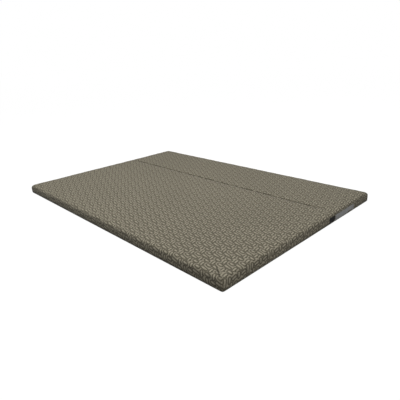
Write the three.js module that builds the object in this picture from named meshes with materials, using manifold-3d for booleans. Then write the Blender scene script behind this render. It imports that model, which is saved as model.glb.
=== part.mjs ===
// A folding futon mattress, in millimetres, with +Z up.
// The origin is the middle of the underside, on the floor.
// X runs along the long side and Y along the short side.
// Two padded sections, the front one on -Y and the rear one on +Y, meet at a fold that runs along X.
// The rear section swings up and over the front one about a line just above the top fabric.
// Each section is a sewn cover, closed by a zip on its -X end, round a sleeve.
// The sleeve holds a foam core between two layers of wadding.

import * as THREE from "three";
import { mergeVertices } from "three/addons/utils/BufferGeometryUtils.js";
import Module from "manifold-3d";

const wasm = await Module();
wasm.setup();

// ---------------------------------------------------------------- driving dimensions

const WIDTH = 2000; // along X
const DEPTH = 1400; // along Y
const HEIGHT = 60;
const FOLD_Y = 260; // the fold, measured from the middle of the mattress
const FOLD_GAP = 2; // between the two sections' walls

const CORNER_RADIUS = 30; // the four corners, seen from above
const TOP_EDGE_RADIUS = 20; // the soft roll where the top fabric turns down
const BOTTOM_EDGE_RADIUS = 6; // the sewn edge round the underside
const FOLD_EDGE_RADIUS = 4; // the edges on each side of the fold

const CLEARANCE = 0.3; // between pieces that touch
const COVER_SKIN = 2; // cover fabric with its backing
const LINING_SKIN = 1.2; // the walls that close each section at the fold
const TAPE_SKIN = 1; // the webbing sewn under the fold
const TAPE_WIDTH = 28;
const TAPE_END_MARGIN = 24; // the webbing stops short of the rounded ends
const SLEEVE_SKIN = 0.6; // the spun-bonded bag round the filling
const CORE_THICKNESS = 30; // polyurethane foam
const ZIP_ROOM = 6; // the filling stays this much further back from the zip

const ZIP_FROM_FOLD = 50; // from the fold to the closed end of each zip
const ZIP_FROM_SIDE = 50; // from the other end of each zip to the outer wall
const ZIP_HEIGHT = 23; // of the middle of the zip above the floor

const LABEL_SKIN = 0.8;
const LABEL_LOW = 6.5; // bottom edge of both labels
const LABEL_TALL = 33;
const LABEL_CORNER = { radius: 1.5, steps: 3 };
const BRAND_LABEL = { from: 195, to: 257 }; // along Y, on the front section
const CARE_LABEL = { from: 264, to: 495 }; // along Y, on the rear section

const ARC_STEPS = 6; // points round a quarter circle in a plan corner
const EDGE_STEPS = 4; // rings in a rounded edge
const SPARE = 60; // how far a cutting solid runs past what it cuts
const MERGE_WITHIN = 0.001; // vertices this close are one

// Heights and insets that follow from the dimensions above.
const TAPE_TOP = HEIGHT - COVER_SKIN - CLEARANCE;
const TAPE_BOTTOM = TAPE_TOP - TAPE_SKIN;
const SLEEVE_INSET = COVER_SKIN + TAPE_SKIN + 2 * CLEARANCE;
const FILLING_INSET = SLEEVE_INSET + SLEEVE_SKIN + CLEARANCE;
const CORE_BOTTOM = (HEIGHT - CORE_THICKNESS) / 2;
const CORE_TOP = CORE_BOTTOM + CORE_THICKNESS;

// ---------------------------------------------------------------- materials

const cloth = (color) => new THREE.MeshStandardMaterial({ color, roughness: 0.95, metalness: 0 });
const MATERIALS = {
  jacquard: cloth(0x7c776a),
  underside: cloth(0x4a463f),
  lining: cloth(0x1d1c1b),
  webbing: cloth(0x35322d),
  sleeve: cloth(0xdedcd6),
  wadding: cloth(0xf0efeb),
  foam: cloth(0xe9dfb8),
  zipTape: cloth(0x3a3833),
  blackLabel: cloth(0x1c1b1d),
  whiteLabel: cloth(0xd8d8da),
  zipCoil: new THREE.MeshStandardMaterial({ color: 0x2e2c29, roughness: 0.5, metalness: 0 }),
  zipMetal: new THREE.MeshStandardMaterial({ color: 0x8d8c88, roughness: 0.35, metalness: 0.9 }),
};

// ---------------------------------------------------------------- solids

// A closed three.js geometry as a manifold-3d solid.
function solidOf(geometry) {
  const bare = geometry.index ? geometry.toNonIndexed() : geometry.clone();
  bare.deleteAttribute("normal");
  bare.deleteAttribute("uv");
  const merged = mergeVertices(bare, MERGE_WITHIN);
  const mesh = new wasm.Mesh({
    numProp: 3,
    vertProperties: merged.attributes.position.array,
    triVerts: new Uint32Array(merged.index.array),
  });
  return new wasm.Manifold(mesh);
}

// A manifold-3d solid as a three.js mesh.
function meshOf(name, solid, material) {
  const made = solid.getMesh();
  const positions = new Float32Array(made.numVert * 3);
  for (let i = 0; i < made.numVert; i++) {
    const start = i * made.numProp;
    positions.set(made.vertProperties.subarray(start, start + 3), i * 3);
  }
  const geometry = new THREE.BufferGeometry();
  geometry.setAttribute("position", new THREE.BufferAttribute(positions, 3));
  geometry.setIndex(new THREE.BufferAttribute(made.triVerts, 1));
  const flat = geometry.toNonIndexed();
  flat.computeVertexNormals();
  const mesh = new THREE.Mesh(flat, material.clone());
  mesh.name = name;
  return mesh;
}

// A box between two corners. The low and high ends of each side may come in either order.
function boxBetween(a, b) {
  const size = a.map((value, axis) => Math.abs(b[axis] - value));
  const middle = a.map((value, axis) => (b[axis] + value) / 2);
  return solidOf(new THREE.BoxGeometry(...size).translate(...middle));
}

// A rectangle with round corners, in the XY plane.
function roundedRectangle(x0, x1, y0, y1, radius) {
  const quarter = Math.PI / 2;
  const shape = new THREE.Shape();
  shape.moveTo(x0 + radius, y0);
  shape.absarc(x1 - radius, y0 + radius, radius, -quarter, 0);
  shape.absarc(x1 - radius, y1 - radius, radius, 0, quarter);
  shape.absarc(x0 + radius, y1 - radius, radius, quarter, 2 * quarter);
  shape.absarc(x0 + radius, y0 + radius, radius, 2 * quarter, 3 * quarter);
  return shape;
}

// A shape pushed up from z0 to z1, with its top and bottom edges rounded to the same radius.
function roundEdgedSlab(shape, z0, z1, radius) {
  const geometry = new THREE.ExtrudeGeometry(shape, {
    depth: z1 - z0 - 2 * radius,
    curveSegments: ARC_STEPS,
    bevelThickness: radius,
    bevelSize: radius,
    bevelOffset: -radius,
    bevelSegments: EDGE_STEPS,
  });
  return solidOf(geometry.translate(0, 0, z0 + radius));
}

// A plain plate: a shape pushed up from z0 to z1.
function plate(shape, z0, z1) {
  const geometry = new THREE.ExtrudeGeometry(shape, {
    depth: z1 - z0,
    curveSegments: ARC_STEPS,
    bevelEnabled: false,
  });
  return solidOf(geometry.translate(0, 0, z0));
}

// ---------------------------------------------------------------- the mattress as blocks

const atLeastOne = (radius) => Math.max(radius, 1);

// The whole mattress, everything `inset` inside its outer surface.
// It stays a further `zipInset` back at the zip end.
function wholeBlock(inset, zipInset = 0) {
  const outline = roundedRectangle(
    -WIDTH / 2 + inset + zipInset,
    WIDTH / 2 - inset,
    -DEPTH / 2 + inset,
    DEPTH / 2 - inset,
    CORNER_RADIUS - inset,
  );
  const topRounded = roundEdgedSlab(outline, inset - SPARE, HEIGHT - inset, TOP_EDGE_RADIUS - inset);
  const bottomRadius = atLeastOne(BOTTOM_EDGE_RADIUS - inset);
  const bottomRounded = roundEdgedSlab(outline, inset, HEIGHT + SPARE, bottomRadius);
  return topRounded.intersect(bottomRounded);
}

// Where a section's wall stands at the fold: side is -1 for the front section and 1 for the rear one.
const foldFace = (side, inset = 0) => FOLD_Y + side * (FOLD_GAP / 2 + inset);

// One section of the mattress, everything `inset` inside its outer surface.
function sectionBlock(side, inset, zipInset = 0) {
  const reach = WIDTH / 2 + SPARE;
  const ends = [foldFace(side, inset), side * (DEPTH / 2 + SPARE)].sort((a, b) => a - b);
  const edge = atLeastOne(FOLD_EDGE_RADIUS - inset);
  const slabOutline = new THREE.Shape();
  slabOutline.moveTo(-reach, ends[0]);
  slabOutline.lineTo(reach, ends[0]);
  slabOutline.lineTo(reach, ends[1]);
  slabOutline.lineTo(-reach, ends[1]);
  const slab = roundEdgedSlab(slabOutline, inset, HEIGHT - inset, edge);
  return wholeBlock(inset, zipInset).intersect(slab);
}

// The part of a solid between two heights.
function layer(solid, z0, z1) {
  const reach = WIDTH + DEPTH;
  return solid.intersect(boxBetween([-reach, -reach, z0], [reach, reach, z1]));
}

// ---------------------------------------------------------------- sewn covers and filling

// The patterned fabric: the top, turned down over the outer edges. It is open underneath and at the fold,
// and a slot in its -X wall shows the zip.
function topCover(side) {
  const shell = sectionBlock(side, 0).subtract(wholeBlock(COVER_SKIN));
  return layer(shell, COVER_SKIN + CLEARANCE, HEIGHT + SPARE).subtract(zipSlot(side));
}

// The plain fabric of the underside.
function bottomCover(side) {
  return layer(sectionBlock(side, 0), -SPARE, COVER_SKIN);
}

// The lining that closes a section at the fold, inside the cover's side walls and under the webbing.
function foldWall(side) {
  const across = boxBetween(
    [-WIDTH, foldFace(side), COVER_SKIN + CLEARANCE],
    [WIDTH, foldFace(side, LINING_SKIN), TAPE_BOTTOM - CLEARANCE],
  );
  return wholeBlock(COVER_SKIN + CLEARANCE).intersect(across);
}

// The bag that holds the filling, open towards the zip.
function innerSleeve(side) {
  const outside = sectionBlock(side, SLEEVE_INSET, ZIP_ROOM);
  const inside = sectionBlock(side, SLEEVE_INSET + SLEEVE_SKIN, ZIP_ROOM);
  const mouth = -WIDTH / 2 + SLEEVE_INSET + ZIP_ROOM + BOTTOM_EDGE_RADIUS;
  const opening = boxBetween(
    [-WIDTH, -DEPTH, SLEEVE_INSET + SLEEVE_SKIN],
    [mouth, DEPTH, HEIGHT - SLEEVE_INSET - SLEEVE_SKIN],
  );
  return outside.subtract(inside).subtract(opening);
}

function filling(side, z0, z1) {
  return layer(sectionBlock(side, FILLING_INSET, ZIP_ROOM), z0, z1);
}

// The webbing under the fold, which bends with it.
function foldTape() {
  const end = WIDTH / 2 - TAPE_END_MARGIN;
  return boxBetween([-end, FOLD_Y - TAPE_WIDTH / 2, TAPE_BOTTOM], [end, FOLD_Y + TAPE_WIDTH / 2, TAPE_TOP]);
}

// A label on the +X wall, from one Y to another.
function label({ from, to }) {
  const outline = roundedRectangle(from, to, LABEL_LOW, LABEL_LOW + LABEL_TALL, LABEL_CORNER.radius);
  const geometry = new THREE.ExtrudeGeometry(outline, {
    depth: LABEL_SKIN,
    curveSegments: LABEL_CORNER.steps,
    bevelEnabled: false,
  });
  // The outline's x and y become the mattress's Y and Z.
  geometry.rotateX(Math.PI / 2).rotateZ(Math.PI / 2);
  return solidOf(geometry.translate(WIDTH / 2 + CLEARANCE, 0, 0));
}

// ---------------------------------------------------------------- zips
// A zip is made in a frame of its own: x runs from its closed end to its open end, y across the chain,
// and z out of the wall, with z = 0 on the wall's outer face. `low` and `high` are heights along that z,
// `inner` and `outer` are distances from the middle of the chain, and hand is 1 or -1 for a side of it.

const ZIP_TAPE = { inner: 2.2, outer: 15.2, low: -2.9, high: -2.3, before: 8, after: 6 };
const COIL = { inner: 0.15, outer: 3.4, low: -2, high: 0, start: 9, endMargin: 8 };
const TOP_STOP = { start: 0.5, end: 3, inner: 1.2, outer: 4, high: 0.2 };
const BOTTOM_STOP = { endMargin: 3, length: 4, high: 0.6 };
const SLOT = { halfWidth: 6.5, before: 3, after: 1 }; // the opening in the cover
const SLIDER = { start: 4, length: 14, nose: 2, shoulder: 6, halfWidth: 5.25, lip: 1, weld: 0.5 };
const FRONT_PLATE = { low: 0.5, high: 2.1 };
const BACK_PLATE = { low: -4.7, high: -3.3 };
const WEDGE = { start: 5.2, end: 8, halfWidth: 1.5 }; // it parts the two halves of the chain
const PIVOT = { x: 11, z: 3.2 }; // the bar that the pull turns on
const BRIDGE = { halfLength: 3.5, halfWidth: 0.8, leg: 1, roomAbove: 1.1, thickness: 1 };
const PULL = { length: 22, halfWidth: 3.5, halfThickness: 0.6, windowEnd: 6, windowHalfWidth: 1.3 };
const THUMB_HOLE = { radius: 1.6, fromEnd: 5, sides: 16 };

const zipClosedEnd = (side) => FOLD_Y + side * ZIP_FROM_FOLD;
const zipOpenEnd = (side) => side * (DEPTH / 2 - ZIP_FROM_SIDE);
const zipLength = (side) => Math.abs(zipOpenEnd(side) - zipClosedEnd(side));

function zipTape(length, hand) {
  const { inner, outer, low, high, before, after } = ZIP_TAPE;
  return boxBetween([-before, hand * inner, low], [length + after, hand * outer, high]);
}

// One half of the chain, as the strip that its coils fill.
function zipCoil(length, hand) {
  const { inner, outer, low, high, start, endMargin } = COIL;
  return boxBetween([start, hand * inner, low], [length - endMargin, hand * outer, high]);
}

function topStop(hand) {
  const { start, end, inner, outer, high } = TOP_STOP;
  return boxBetween([start, hand * inner, COIL.low], [end, hand * outer, high]);
}

function bottomStop(length) {
  const end = length - BOTTOM_STOP.endMargin;
  return boxBetween([end - BOTTOM_STOP.length, -COIL.outer, COIL.low], [end, COIL.outer, BOTTOM_STOP.high]);
}

// The outline of both of the slider's plates: widest at the shoulder, with a round nose.
function sliderOutline() {
  const { start, length, nose, shoulder, halfWidth, lip } = SLIDER;
  const outline = new THREE.Shape();
  outline.moveTo(start + nose, -halfWidth);
  outline.lineTo(start + shoulder, -halfWidth);
  outline.lineTo(start + length, lip - halfWidth);
  outline.lineTo(start + length, halfWidth - lip);
  outline.lineTo(start + shoulder, halfWidth);
  outline.lineTo(start + nose, halfWidth);
  outline.quadraticCurveTo(start, 0, start + nose, -halfWidth);
  return outline;
}

// The bridge over the pull's end bar.
function sliderBridge() {
  const { halfLength, halfWidth, leg, roomAbove, thickness } = BRIDGE;
  const roof = PIVOT.z + roomAbove;
  const foot = FRONT_PLATE.high - SLIDER.weld;
  const block = boxBetween(
    [PIVOT.x - halfLength, -halfWidth, foot],
    [PIVOT.x + halfLength, halfWidth, roof + thickness],
  );
  const inside = halfLength - leg;
  const room = boxBetween([PIVOT.x - inside, -SPARE, FRONT_PLATE.high], [PIVOT.x + inside, SPARE, roof]);
  return block.subtract(room);
}

// The slider: two plates joined by a wedge, with turned-in lips beside the coils.
function zipSlider() {
  const { start, nose, shoulder, halfWidth, lip, weld } = SLIDER;
  const top = FRONT_PLATE.high - weld;
  const wedge = boxBetween(
    [WEDGE.start, -WEDGE.halfWidth, BACK_PLATE.low + weld],
    [WEDGE.end, WEDGE.halfWidth, top],
  );
  const lips = [1, -1].map((hand) =>
    boxBetween(
      [start + nose, hand * halfWidth, COIL.low + CLEARANCE],
      [start + shoulder, hand * (halfWidth - lip), top],
    ),
  );
  const frontPlate = plate(sliderOutline(), FRONT_PLATE.low, FRONT_PLATE.high);
  const backPlate = plate(sliderOutline(), BACK_PLATE.low, BACK_PLATE.high);
  return [backPlate, wedge, ...lips, sliderBridge()].reduce((made, piece) => made.add(piece), frontPlate);
}

// The pull: a flat tab whose end bar passes under the slider's bridge. Its pivot is its origin.
function zipPull() {
  const { length, halfWidth, halfThickness, windowEnd, windowHalfWidth } = PULL;
  const tab = new THREE.Shape();
  tab.moveTo(-halfThickness, -halfWidth);
  tab.absarc(length - halfWidth, 0, halfWidth, -Math.PI / 2, Math.PI / 2);
  tab.lineTo(-halfThickness, halfWidth);
  const { radius, fromEnd, sides } = THUMB_HOLE;
  const hole = new THREE.CylinderGeometry(radius, radius, halfWidth, sides).rotateX(Math.PI / 2);
  return plate(tab, -halfThickness, halfThickness)
    .subtract(boxBetween([halfThickness, -windowHalfWidth, -SPARE], [windowEnd, windowHalfWidth, SPARE]))
    .subtract(solidOf(hole.translate(length - fromEnd, 0, 0)));
}

// The slot that a zip needs in the cover's wall.
function zipSlot(side) {
  return boxBetween(
    [-WIDTH, zipClosedEnd(side) - side * SLOT.before, ZIP_HEIGHT - SLOT.halfWidth],
    [-WIDTH / 2 + COVER_SKIN + CLEARANCE, zipOpenEnd(side) + side * SLOT.after, ZIP_HEIGHT + SLOT.halfWidth],
  );
}

// A zip's meshes, turned and placed on the -X wall of a section.
function zipGroup(name, side) {
  const length = zipLength(side);
  const pieces = {
    tape_upper: [zipTape(length, -side), MATERIALS.zipTape],
    tape_lower: [zipTape(length, side), MATERIALS.zipTape],
    coil_upper: [zipCoil(length, -side), MATERIALS.zipCoil],
    coil_lower: [zipCoil(length, side), MATERIALS.zipCoil],
    top_stop_upper: [topStop(-side), MATERIALS.zipMetal],
    top_stop_lower: [topStop(side), MATERIALS.zipMetal],
    bottom_stop: [bottomStop(length), MATERIALS.zipMetal],
    slider: [zipSlider(), MATERIALS.zipMetal],
  };
  const group = new THREE.Group();
  for (const [piece, [solid, material]] of Object.entries(pieces)) {
    group.add(meshOf(`${name}_zip_${piece}`, solid, material));
  }
  const pull = meshOf(`${name}_zip_pull`, zipPull(), MATERIALS.zipMetal);
  pull.position.set(PIVOT.x, 0, PIVOT.z);
  group.add(pull);
  const along = new THREE.Vector3(0, side, 0);
  const across = new THREE.Vector3(0, 0, -side);
  const outward = new THREE.Vector3(-1, 0, 0);
  group.quaternion.setFromRotationMatrix(new THREE.Matrix4().makeBasis(along, across, outward));
  group.position.set(-WIDTH / 2, zipClosedEnd(side), ZIP_HEIGHT);
  return group;
}

// ---------------------------------------------------------------- the mattress

function section(name, side) {
  const group = new THREE.Group();
  const pieces = {
    cover_top: [topCover(side), MATERIALS.jacquard],
    cover_bottom: [bottomCover(side), MATERIALS.underside],
    fold_wall: [foldWall(side), MATERIALS.lining],
    inner_sleeve: [innerSleeve(side), MATERIALS.sleeve],
    wadding_upper: [filling(side, CORE_TOP + CLEARANCE, HEIGHT), MATERIALS.wadding],
    foam_core: [filling(side, CORE_BOTTOM, CORE_TOP), MATERIALS.foam],
    wadding_lower: [filling(side, 0, CORE_BOTTOM - CLEARANCE), MATERIALS.wadding],
  };
  for (const [piece, [solid, material]] of Object.entries(pieces)) {
    group.add(meshOf(`${name}_${piece}`, solid, material));
  }
  group.add(zipGroup(name, side));
  return group;
}

const mattress = new THREE.Group();
mattress.name = "futon_mattress";
mattress.add(section("front", -1));
mattress.add(section("rear", 1));
mattress.add(meshOf("fold_tape", foldTape(), MATERIALS.webbing));
mattress.add(meshOf("brand_label", label(BRAND_LABEL), MATERIALS.blackLabel));
mattress.add(meshOf("care_label", label(CARE_LABEL), MATERIALS.whiteLabel));

export default mattress;
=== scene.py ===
"""A folding futon mattress that lies flat: its looks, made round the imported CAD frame.

Everything is in metres, with +Z up. X runs along the long side. Y runs from the wide front section
to the narrow rear one, and the two meet at the fold.
"""

import math

import bmesh
import bpy
import numpy as np
from mathutils import Matrix, Vector
from mathutils.bvhtree import BVHTree


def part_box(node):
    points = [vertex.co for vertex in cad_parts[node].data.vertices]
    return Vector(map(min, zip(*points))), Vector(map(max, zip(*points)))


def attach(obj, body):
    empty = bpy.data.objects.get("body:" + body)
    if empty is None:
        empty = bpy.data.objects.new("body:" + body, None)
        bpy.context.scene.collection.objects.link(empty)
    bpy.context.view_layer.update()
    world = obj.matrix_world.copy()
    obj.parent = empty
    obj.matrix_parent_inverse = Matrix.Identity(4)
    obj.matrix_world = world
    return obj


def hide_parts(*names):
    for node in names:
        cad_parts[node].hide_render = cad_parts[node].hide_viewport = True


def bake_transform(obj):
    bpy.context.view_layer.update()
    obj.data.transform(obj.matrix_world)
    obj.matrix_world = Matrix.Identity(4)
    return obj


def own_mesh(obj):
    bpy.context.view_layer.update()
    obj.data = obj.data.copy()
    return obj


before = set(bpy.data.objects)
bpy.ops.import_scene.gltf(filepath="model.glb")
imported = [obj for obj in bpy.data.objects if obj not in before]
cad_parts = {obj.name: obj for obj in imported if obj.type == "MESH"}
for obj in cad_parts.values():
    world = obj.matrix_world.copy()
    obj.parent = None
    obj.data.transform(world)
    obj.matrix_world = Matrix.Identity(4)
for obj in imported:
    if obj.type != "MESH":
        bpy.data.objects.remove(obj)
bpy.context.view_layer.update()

MM = 0.001
HAIR = 0.1 * MM  # the smallest distance that counts
FRONT = "front_section"
REAR = "rear_section"
SECTIONS = {"front": FRONT, "rear": REAR}

# ---------------------------------------------------------------- sizes taken from the frame

front_low, front_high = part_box("front_cover_top")
rear_low, rear_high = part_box("rear_cover_top")
HALF_X = front_high.x
LOW_Y = front_low.y
HIGH_Y = rear_high.y
HEIGHT = front_high.z
HALF_Y = (HIGH_Y - LOW_Y) / 2
MIDDLE_Y = (HIGH_Y + LOW_Y) / 2
FOLD_Y = (front_high.y + rear_low.y) / 2

# ---------------------------------------------------------------- sizes of the sewn cover

CORNER = 26 * MM  # the plan corners' radius at the top
CORNER_SQUARE = 0.9  # how far the walls' corners are pushed out towards a sharp corner
TOP_ROLL = 18 * MM  # the soft roll where the top turns down
BOTTOM_ROLL = 4 * MM
WALL_BULGE = 1.2 * MM
SEAM_HALF = 1.2 * MM  # half the width of the strip that bends at the fold
BESIDE_SEAM = 3.2 * MM  # the next grid line, which the turned-in edge pulls on
SLIT_TOP = 53.0 * MM  # below this the walls are parted at the fold
FOLD_FADE = (0.84, 0.93)  # the X from which the fold's valley and shade fade, and where they end
FOLD_WALL_TOP = 53.3 * MM
SLOT_LOW = 16.5 * MM  # the opening that shows a zip
SLOT_HIGH = 29.5 * MM
# The ridge of loose cloth that runs into the near corner: its ends, and the crease beside it.
PUCKER_START = (0.900, -0.620)
PUCKER_END = (0.986, -0.686)
PUCKER_RISE = 3.5 * MM
PUCKER_DIP = 2.4 * MM
PUCKER_WIDTH = 5.0 * MM
PUCKER_CREASE = 8.5 * MM  # from the ridge
SLOT_PAST_COIL = 9 * MM  # how far the opening goes past each end of the zip's coil
ZIP_SLOTS = {}
for section in SECTIONS:
    coil_low, coil_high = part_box(f"{section}_zip_coil_upper")
    ZIP_SLOTS[section] = (coil_low.y - SLOT_PAST_COIL, coil_high.y + SLOT_PAST_COIL)


# ---------------------------------------------------------------- meshes


def add_object(name, data):
    """A new object in the scene, made of a mesh, a light or a camera."""
    made = bpy.data.objects.new(name, data)
    bpy.context.scene.collection.objects.link(made)
    return made


def mesh_object(name, points, faces, material):
    """A new smooth mesh object from points and faces, which may be any mix of triangles and quads."""
    mesh = bpy.data.meshes.new(name)
    mesh.from_pydata([tuple(p) for p in points], [], [tuple(f) for f in faces])
    mesh.validate()
    mesh.materials.append(material)
    mesh.shade_smooth()
    return add_object(name, mesh)


def points_of(made):
    flat = np.empty(len(made.data.vertices) * 3)
    made.data.vertices.foreach_get("co", flat)
    return flat.reshape(-1, 3)


def set_points(made, points):
    made.data.vertices.foreach_set("co", np.asarray(points, float).ravel())
    made.data.update()


def apply_modifiers(made):
    """Keeps the mesh that the modifiers make, and takes the modifiers off."""
    graph = bpy.context.evaluated_depsgraph_get()
    graph.update()
    final = bpy.data.meshes.new_from_object(made.evaluated_get(graph), depsgraph=graph)
    made.modifiers.clear()
    old = made.data
    made.data = final
    bpy.data.meshes.remove(old)


def subdivide(made):
    """Splits each face in four, rounded."""
    modifier = made.modifiers.new("Subdivision", "SUBSURF")
    modifier.levels = 1
    modifier.render_levels = 1
    apply_modifiers(made)


def surface_tree(piece):
    """A piece's finished surface, to send rays at or find the nearest point of."""
    return BVHTree.FromObject(piece, bpy.context.evaluated_depsgraph_get())


def smoothstep(low, high, x):
    """From 0 at low to 1 at high, level at both."""
    t = np.clip((x - low) / (high - low), 0, 1)
    return t * t * (3 - 2 * t)


# ---------------------------------------------------------------- node materials


class Nodes:
    """A material's node tree, with short calls for the nodes that are used most."""

    def __init__(self, name, **constants):
        self.material = bpy.data.materials.new(name)
        self.material.use_nodes = True
        self.tree = self.material.node_tree
        self.shader = self.tree.nodes["Principled BSDF"]
        for socket, value in constants.items():
            self.shader.inputs[socket.replace("_", " ")].default_value = value

    def node(self, kind, inputs=(), **settings):
        made = self.tree.nodes.new(kind)
        for key, value in settings.items():
            setattr(made, key, value)
        for socket, value in dict(inputs).items():
            self.feed(made.inputs[socket], value)
        return made

    def feed(self, socket, value):
        if isinstance(value, bpy.types.NodeSocket):
            self.tree.links.new(value, socket)
        else:
            socket.default_value = value

    def math(self, operation, a, b=0.0, c=0.0):
        return self.node("ShaderNodeMath", {0: a, 1: b, 2: c}, operation=operation).outputs["Value"]

    def vector(self, operation, a, b=(0, 0, 0), c=(0, 0, 0)):
        made = self.node("ShaderNodeVectorMath", {0: a, 1: b, 2: c}, operation=operation)
        return made.outputs["Value" if operation in ("DOT_PRODUCT", "LENGTH") else "Vector"]

    def place(self):
        """Where a point of the mesh is at rest."""
        return self.node("ShaderNodeTexCoord").outputs["Object"]

    def noise(self, where, scale, detail=3.0, roughness=0.5):
        inputs = {"Vector": where, "Scale": scale, "Detail": detail, "Roughness": roughness}
        return self.node("ShaderNodeTexNoise", inputs).outputs["Fac"]

    def spread(self, value, low, high, to_low=0.0, to_high=1.0):
        """Takes low to high onto another range, and stops at its ends."""
        inputs = {"Value": value, "From Min": low, "From Max": high, "To Min": to_low, "To Max": to_high}
        return self.node("ShaderNodeMapRange", inputs).outputs["Result"]

    def level(self, noise, low, high):
        """A noise, which stays near its middle, spread so that it goes from low to high."""
        return self.spread(noise, 0.3, 0.7, low, high)

    def patches(self, where, scale, low, high, detail=3.0):
        """Soft patches of noise that go from low to high."""
        return self.level(self.noise(where, scale, detail), low, high)

    def gap(self, a, b):
        """How far apart two values are."""
        return self.math("ABSOLUTE", self.math("SUBTRACT", a, b))

    def weighed(self, a, weight, b, other_weight):
        """The sum of two values, each times its weight."""
        return self.math("MULTIPLY_ADD", a, weight, self.math("MULTIPLY", b, other_weight))

    def split(self, where):
        """A vector's parts, by name."""
        return self.node("ShaderNodeSeparateXYZ", {0: where}).outputs

    def join(self, **parts):
        """A vector made of named parts. One that isn't named is 0."""
        return self.node("ShaderNodeCombineXYZ", parts).outputs["Vector"]

    def mix(self, share, a, b):
        """A colour that goes from a to b with share."""
        made = self.node("ShaderNodeMix", data_type="RGBA")
        self.feed(made.inputs["Factor"], share)
        self.feed(made.inputs["A"], a if isinstance(a, bpy.types.NodeSocket) else (*a, 1))
        self.feed(made.inputs["B"], b if isinstance(b, bpy.types.NodeSocket) else (*b, 1))
        return made.outputs["Result"]

    def tint(self, share, color, darkest, lightest):
        """A colour that goes from darkest to lightest times itself with share."""
        return self.mix(share, [c * darkest for c in color], [c * lightest for c in color])

    def bump(self, height, distance, strength=1.0, below=None):
        """The normal of a relief, on the surface or on the relief below it."""
        inputs = {"Height": height, "Distance": distance, "Strength": strength}
        made = self.node("ShaderNodeBump", inputs)
        if below is not None:
            self.feed(made.inputs["Normal"], below)
        return made.outputs["Normal"]

    def finish(self, color, roughness=None, normal=None):
        """Joins what was made to the shader, and gives the material."""
        self.feed(self.shader.inputs["Base Color"], color)
        if roughness is not None:
            self.feed(self.shader.inputs["Roughness"], roughness)
        if normal is not None:
            self.feed(self.shader.inputs["Normal"], normal)
        return self.material


# The jacquard's figure repeats along two directions that cross near a right angle.
REPEAT_ACROSS = 51 * MM
REPEAT_ALONG = 108 * MM
ACROSS_TURN = math.radians(42.5)
ALONG_TURN = math.radians(137)

# The figure is five rows of strokes in a repeat. Each row is shifted by two fifths of the repeat, as the
# ties of a satin are. A light stroke leans one way or the other by turns, and a dark one lies between two.
# The sizes of strokes are in millimetres.
FIGURE_ROWS = 5
ROW_SHIFT = 2
LIGHT_LEAN = 32  # degrees from the direction along the repeat
DARK_LEAN = -32
LIGHT_HALF_LENGTH = 9
LONG_HALF_LENGTH = 16
LIGHT_HALF_WIDTH = 3.8
DARK_HALF_LENGTH = 6
DARK_HALF_WIDTH = 3.4
DARK_WEIGHT = -0.8
STROKE_EDGE = 1.2  # over which a stroke's edge fades
CONTOUR_PITCH = 16.0  # from one of the lines that follow the light strokes to the next
CONTOUR_WEIGHT = 0.65
THREAD = 1.2 * MM
LOOSE_PICK = 0.35  # how much a single thread crossing differs from the figure

# Where the cloth starts to be shaded and is darkest: how far from the fold, and how far down to the hem.
FOLD_SHADE = (7.5 * MM, 3.5 * MM)
HEM_SHADE = (50 * MM, 68 * MM)

JACQUARD_GROUND = (0.185, 0.166, 0.118)
JACQUARD_LIGHT = (0.315, 0.285, 0.213)
JACQUARD_DARK = (0.078, 0.069, 0.047)
JACQUARD_SHADE = (0.040, 0.034, 0.022)


def repeat_place(nodes, cloth):
    """Where a point of the cloth is in the figure's repeat, from 0 to 1 in each direction."""
    parts = []
    for size, turn in ((REPEAT_ACROSS, ACROSS_TURN), (REPEAT_ALONG, ALONG_TURN)):
        step = (math.cos(turn) / size, math.sin(turn) / size, 0)
        parts.append(nodes.vector("DOT_PRODUCT", cloth, step))
    return nodes.join(X=parts[0], Y=parts[1])


def stroke_gap(nodes, place, across, along, lean, half_length, half_width):
    """How far a place in the repeat is outside a stroke, in millimetres. Inside, it is below 0."""
    size = (REPEAT_ACROSS / MM, REPEAT_ALONG / MM, 1)
    shifted = nodes.vector("SUBTRACT", place, (across, along, 0))
    wrapped = nodes.vector("WRAP", shifted, (0.5, 0.5, 0.5), (-0.5, -0.5, -0.5))
    local = nodes.vector("MULTIPLY", wrapped, size)
    turn = math.radians(lean)
    ahead = nodes.math("ABSOLUTE", nodes.vector("DOT_PRODUCT", local, (math.sin(turn), math.cos(turn), 0)))
    beside = nodes.vector("DOT_PRODUCT", local, (math.cos(turn), -math.sin(turn), 0))
    past = nodes.math("MAXIMUM", nodes.math("SUBTRACT", ahead, half_length), 0.0)
    away = nodes.vector("LENGTH", nodes.join(X=past, Y=beside))
    return nodes.math("SUBTRACT", away, half_width)


def draw_stroke(nodes, figure, gap, weight):
    """The figure with one stroke added, lighter or darker by the weight."""
    drawn = nodes.spread(gap, STROKE_EDGE / 2, -STROKE_EDGE / 2)
    return nodes.math("MULTIPLY_ADD", drawn, weight, figure)


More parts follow.
